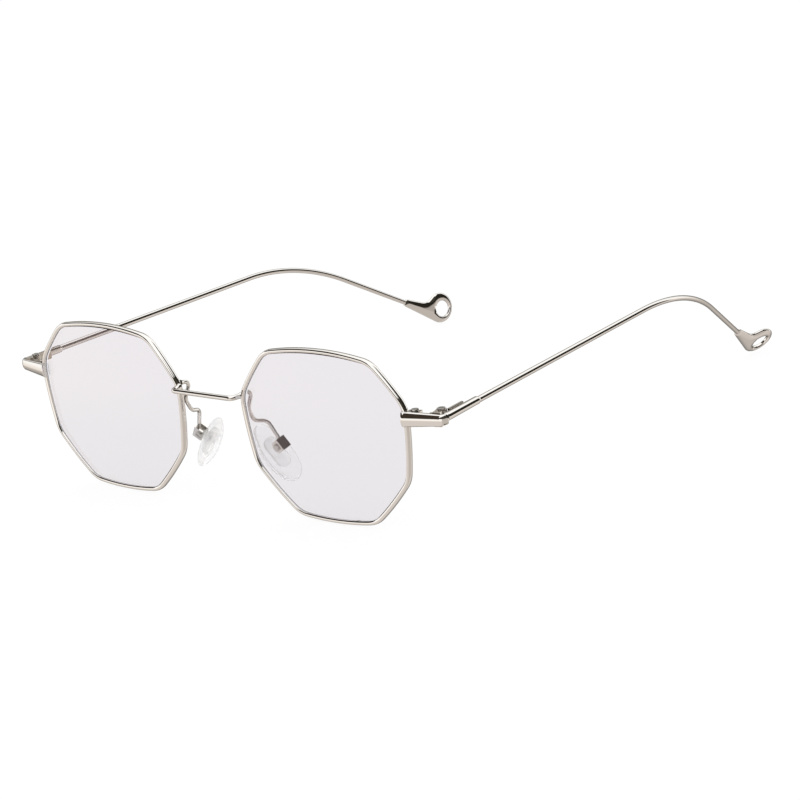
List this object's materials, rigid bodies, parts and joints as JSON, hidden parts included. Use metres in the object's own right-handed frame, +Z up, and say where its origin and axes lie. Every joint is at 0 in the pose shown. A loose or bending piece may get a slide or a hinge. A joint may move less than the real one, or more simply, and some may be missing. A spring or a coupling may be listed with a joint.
{
  "type": "eyeglasses",
  "caption": "Full-rim octagonal wire glasses with clear lenses, folding ear-hook temples with ring tips, and rocking clear nose pads.",
  "frame": {"origin": "centre of the overall box on the table, with the temples open; the pair rests on the bottoms of its rims and on its temple tips", "axes": "+X to the wearer's left, +Y back along the temples, +Z up"},
  "size_m": [0.1368, 0.1477, 0.0412],
  "materials": {
    "frame_metal": "polished silver plating",
    "hinge_metal": "satin nickel silver",
    "screw_steel": "turned stainless steel",
    "lens_clear": "clear with a faint grey tint and an anti-reflection coat",
    "pad_silicone": "clear soft silicone",
    "pad_insert": "clear hard insert"
  },
  "bodies": {
    "front": {"rim_left": "frame_metal", "rim_right": "frame_metal", "lens_left": "lens_clear", "lens_right": "lens_clear", "bridge": "frame_metal", "end_piece_left": "frame_metal", "end_piece_right": "frame_metal", "lock_upper_left": "frame_metal", "lock_upper_right": "frame_metal", "lock_lower_left": "frame_metal", "lock_lower_right": "frame_metal", "lock_screw_left": "screw_steel", "lock_screw_right": "screw_steel", "hinge_front_left": "hinge_metal", "hinge_front_right": "hinge_metal", "hinge_screw_left": "screw_steel", "hinge_screw_right": "screw_steel", "pad_arm_left": "frame_metal", "pad_arm_right": "frame_metal", "pad_box_left": "frame_metal", "pad_box_right": "frame_metal", "pad_screw_left": "screw_steel", "pad_screw_right": "screw_steel"},
    "temple_left": {"hinge_rear_left": "hinge_metal", "temple_butt_left": "frame_metal", "temple_wire_left": "frame_metal", "temple_tip_left": "frame_metal"},
    "pad_left": {"nose_pad_left": "pad_silicone", "pad_core_left": "pad_insert"},
    "temple_right": {"hinge_rear_right": "hinge_metal", "temple_butt_right": "frame_metal", "temple_wire_right": "frame_metal", "temple_tip_right": "frame_metal"},
    "pad_right": {"nose_pad_right": "pad_silicone", "pad_core_right": "pad_insert"}
  },
  "joints": [
    {"name": "temple_left_fold", "type": "hinge", "parent": "front", "child": "temple_left", "pos_m": [0.06538, -0.06459, 0.02719], "axis": [0, -0.0118, 0.9999], "range_deg": [0, 84]},
    {"name": "temple_right_fold", "type": "hinge", "parent": "front", "child": "temple_right", "pos_m": [-0.06538, -0.06459, 0.02719], "axis": [0, 0.0118, -0.9999], "range_deg": [0, 76]},
    {"name": "pad_left_rock", "type": "hinge", "parent": "front", "child": "pad_left", "pos_m": [0.01299, -0.06268, 0.01431], "axis": [0.0292, 0.9786, 0.2038], "range_deg": [-10, 10]},
    {"name": "pad_right_rock", "type": "hinge", "parent": "front", "child": "pad_right", "pos_m": [-0.01299, -0.06268, 0.01431], "axis": [0.0292, -0.9786, -0.2038], "range_deg": [-10, 10]}
  ]
}
